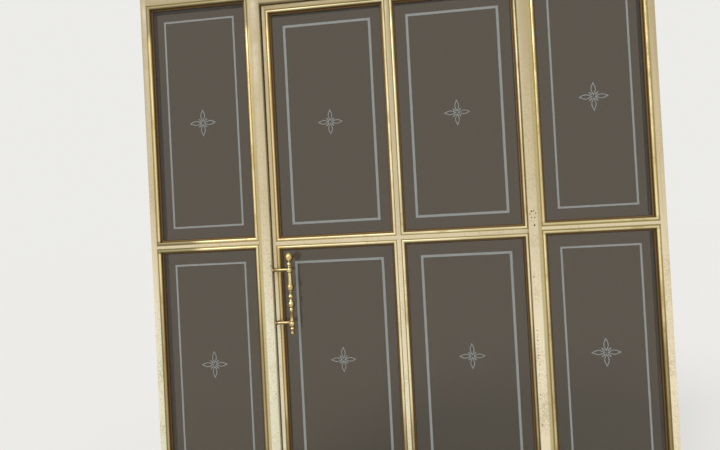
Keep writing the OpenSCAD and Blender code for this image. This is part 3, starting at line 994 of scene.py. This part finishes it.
def handle_rosettes():
    """A small turned rosette under the foot of each handle arm."""
    thick = 0.0016
    bpy.ops.object.select_all(action="DESELECT")
    bpy.ops.mesh.primitive_cylinder_add(
        vertices=40, radius=0.0062, depth=thick, rotation=(math.pi / 2, 0, 0),
        location=(ARM_FOOT_X, LEAF_FACE - thick / 2, ARM_HEIGHTS[0])
    )
    rosette = bpy.context.object
    settle(rosette)
    start_edit(rosette)
    select_corners(rosette, lambda place: place.y < LEAF_FACE - thick / 2)
    bpy.ops.mesh.select_mode(type="FACE")
    bpy.ops.mesh.inset(thickness=0.0012, depth=0.0004)
    stop_edit()
    ease_edges(rosette, width=0.0004, sharp=0.6)
    on_both_arms(rosette, "handle_rosettes")


def handle_collars():
    """A turned collar with a small button on the outer end of each arm's bar."""
    wide = 0.0076
    end_face = ARM_END_X + 0.0001
    bpy.ops.object.select_all(action="DESELECT")
    bpy.ops.mesh.primitive_cylinder_add(
        vertices=48, radius=0.0108, depth=wide, rotation=(0, -math.pi / 2, 0),
        location=(ARM_END_X + wide / 2, ARM_Y, ARM_HEIGHTS[0])
    )
    collar = bpy.context.object
    settle(collar)
    ease_edges(collar, width=0.0030, sharp=0.9, segments=5)
    start_edit(collar)
    select_corners(collar, lambda place: place.x < end_face)
    bpy.ops.mesh.select_mode(type="FACE")
    bpy.ops.mesh.inset(thickness=0.0028, depth=-0.0008)
    bpy.ops.mesh.inset(thickness=0.0014, depth=0.0008)
    stop_edit()
    on_both_arms(collar, "handle_collars")


# Flaked paint on the posts

def bare_flake(place_x, place_z, radius, seed):
    """One spot where the paint has flaked: a ragged dark patch a hair proud of the face."""
    middle = (place_x, POST_FACE - CHIP_PROUD, place_z)
    bpy.ops.object.select_all(action="DESELECT")
    bpy.ops.mesh.primitive_circle_add(
        vertices=11, radius=radius, fill_type="NGON", location=middle,
        rotation=(math.pi / 2, 0, 0)
    )
    flake = bpy.context.object
    settle(flake)
    start_edit(flake, "VERT")
    bpy.ops.transform.vertex_random(offset=radius * CHIP_RAGGED, seed=seed)
    bpy.ops.transform.resize(value=(1, 0, 1), center_override=middle)
    stop_edit()
    thicken(flake, CHIP_THICK)
    return flake


def ring_of_spots(rng):
    """The ring of bare spots on the right post, a little taller than wide."""
    middle_x = 0.5374
    middle_z = 1.335
    radius = 0.0115
    tallness = 1.25
    spots = []
    for turn in (20, 75, 118, 170, 236, 301):
        angle = math.radians(turn)
        spot_x = middle_x + radius * math.cos(angle)
        spot_z = middle_z + tallness * radius * math.sin(angle)
        spots.append((spot_x, spot_z, rng.uniform(0.0020, 0.0031)))
    return spots


def row_of_chips(rng):
    """The row of small chips down the right post, from its highest chip to its lowest."""
    row_x = 0.5290
    highest = 0.882
    pitch = 0.0138
    chips = []
    for step in range(20):
        chip_x = row_x + rng.uniform(-0.0010, 0.0010)
        chip_z = highest - pitch * step + rng.uniform(-0.004, 0.004)
        chips.append((chip_x, chip_z, rng.uniform(0.0012, 0.0024)))
    return chips


def flaked_paint():
    """The bare spots and chips of both posts."""
    rng = random.Random(11)
    right_spots = ring_of_spots(rng) + RIGHT_CHIPS + row_of_chips(rng)
    for name, spots in (("right_post_flakes", right_spots), ("left_post_flakes", LEFT_CHIPS)):
        flakes = []
        for number, (place_x, place_z, radius) in enumerate(spots):
            flakes.append(bare_flake(place_x, place_z, radius, number + 1))
        patch = join(flakes, name)
        give(patch, "frame", bare_spot)


# Floor, light and camera

def pale_floor():
    """A wide plain floor under the threshold."""
    bpy.ops.object.select_all(action="DESELECT")
    bpy.ops.mesh.primitive_plane_add(size=240, location=(0, 0, 0))
    floor = bpy.context.object
    floor.name = "floor"
    material, _, shader = new_material("pale_floor")
    shader.inputs["Base Color"].default_value = (0.8145, 0.815, 0.81, 1)
    shader.inputs["Roughness"].default_value = 1.0
    shader.inputs["Specular IOR Level"].default_value = 0.0
    floor.data.materials.append(material)


def pale_world():
    """Even soft light. The camera, mirrors and glass see a plain pale background."""
    world = bpy.data.worlds.new("pale_world")
    scene.world = world
    world.use_nodes = True
    tree = world.node_tree
    soft = tree.nodes["Background"]
    soft.inputs["Color"].default_value = (1.0, 0.99, 0.97, 1)
    soft.inputs["Strength"].default_value = 0.55
    seen = tree.nodes.new("ShaderNodeBackground")
    seen.inputs["Color"].default_value = (0.84, 0.835, 0.81, 1)
    seen.inputs["Strength"].default_value = 1.0
    rays = tree.nodes.new("ShaderNodeLightPath")
    seen_share = rays.outputs["Is Camera Ray"]
    for kind in ("Is Glossy Ray", "Is Transmission Ray"):
        seen_share = combine(tree, "MAXIMUM", seen_share, rays.outputs[kind])
    mix_shaders(
        tree, seen_share, soft.outputs["Background"], seen.outputs["Background"], "World Output"
    )


def sun(name, strength, spread, azimuth, height, colour):
    """A soft far lamp; azimuth 0 shines along +Y, and height is above the horizon. Spread,
    azimuth and height are in degrees."""
    lamp = bpy.data.lights.new(name, "SUN")
    lamp.energy = strength
    lamp.angle = math.radians(spread)
    lamp.color = colour
    lamp_object = bpy.data.objects.new(name, lamp)
    scene.collection.objects.link(lamp_object)
    lamp_object.rotation_euler = Euler((math.radians(90 - height), 0, math.radians(-azimuth)))


def photo_camera():
    """The photograph's view, fitted to the corners of the screen and the ends of its bars.
    The focal length is 560 pixels at the photograph's width of 720."""
    focal_pixels = 560
    photo_width = 720
    turn_left = math.radians(6.44)
    tilt_up = math.radians(0.76)
    roll = math.radians(-2.99)
    camera = bpy.data.cameras.new("photo_camera")
    camera.sensor_width = 36
    camera.lens = camera.sensor_width * focal_pixels / photo_width
    eye = bpy.data.objects.new("photo_camera", camera)
    scene.collection.objects.link(eye)
    aim = Euler((math.pi / 2 + tilt_up, 0, turn_left)).to_matrix() @ Matrix.Rotation(roll, 3, "Z")
    eye.rotation_euler = aim.to_euler()
    eye.location = (0.110, -2.281, 1.300)
    scene.camera = eye


painted_bars()
smooth_metalwork()
dress_packed_pieces()
dark_edge_bands()
etched_borders()
etched_stars()
hinge_screws()
handle_rosettes()
handle_collars()
flaked_paint()
pale_floor()
pale_world()
sun("front_sun", strength=1.6, spread=26, azimuth=24, height=38, colour=(1.0, 0.98, 0.94))
sun("back_sun", strength=0.7, spread=40, azimuth=205, height=50, colour=(1.0, 1.0, 1.0))
photo_camera()
scene.view_settings.view_transform = "Standard"
